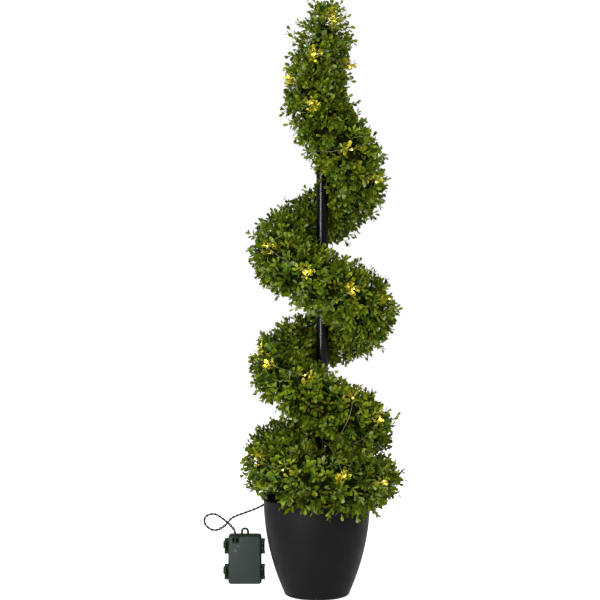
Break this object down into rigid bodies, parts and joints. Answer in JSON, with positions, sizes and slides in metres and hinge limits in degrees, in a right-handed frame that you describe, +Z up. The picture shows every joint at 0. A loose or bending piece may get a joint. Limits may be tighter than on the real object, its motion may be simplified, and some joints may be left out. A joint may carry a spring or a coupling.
{
  "type": "artificial spiral topiary in a planter",
  "caption": "Artificial boxwood spiral: a leafy roll winds down round a black pole in a tapering planter, with string lights on a battery case beside it.",
  "frame": {"origin": "centre of the planter's flat underside, on the floor", "axes": "+Z up along the pole, -Y towards the front that the picture shows, +X to the right in it"},
  "size_m": [0.4118, 0.3412, 1.1985],
  "materials": {
    "pot": "charcoal moulded plastic, fine matte grain",
    "pot_fill": "grey cement ballast",
    "pole": "black satin coat",
    "steel": "black coated steel",
    "foliage": "moulded soft polythene leaves, mid green to yellow green with a pale sheen",
    "twig": "dull green plastic stems",
    "case": "dark green plastic",
    "case_lid": "grey green plastic with a soft sheen",
    "lead": "dark green insulation, twisted pair",
    "light_wire": "thin clear coated copper wire",
    "bulb": "clear lens, lit warm white"
  },
  "bodies": {
    "root": {"pot": "pot", "pot_fill": "pot_fill", "pole": "pole", "strut_1": "steel", "strut_2": "steel", "strut_3": "steel", "strut_4": "steel", "strut_5": "steel", "frame_end": "steel", "foliage_01": "foliage", "foliage_02": "foliage", "foliage_03": "foliage", "foliage_04": "foliage", "foliage_05": "foliage", "foliage_06": "foliage", "foliage_07": "foliage", "foliage_08": "foliage", "foliage_09": "foliage", "foliage_10": "foliage", "foliage_11": "foliage", "foliage_12": "foliage", "foliage_13": "foliage", "foliage_14": "foliage", "foliage_15": "foliage", "foliage_16": "foliage", "battery_case": "case", "battery_lid": "case_lid", "case_latch_left_1": "case", "case_latch_left_2": "case", "case_latch_right_1": "case", "case_latch_right_2": "case", "hanging_loop": "case", "lead_gland": "case", "push_button": "case_lid", "lead": "lead"}
  },
  "joints": []
}
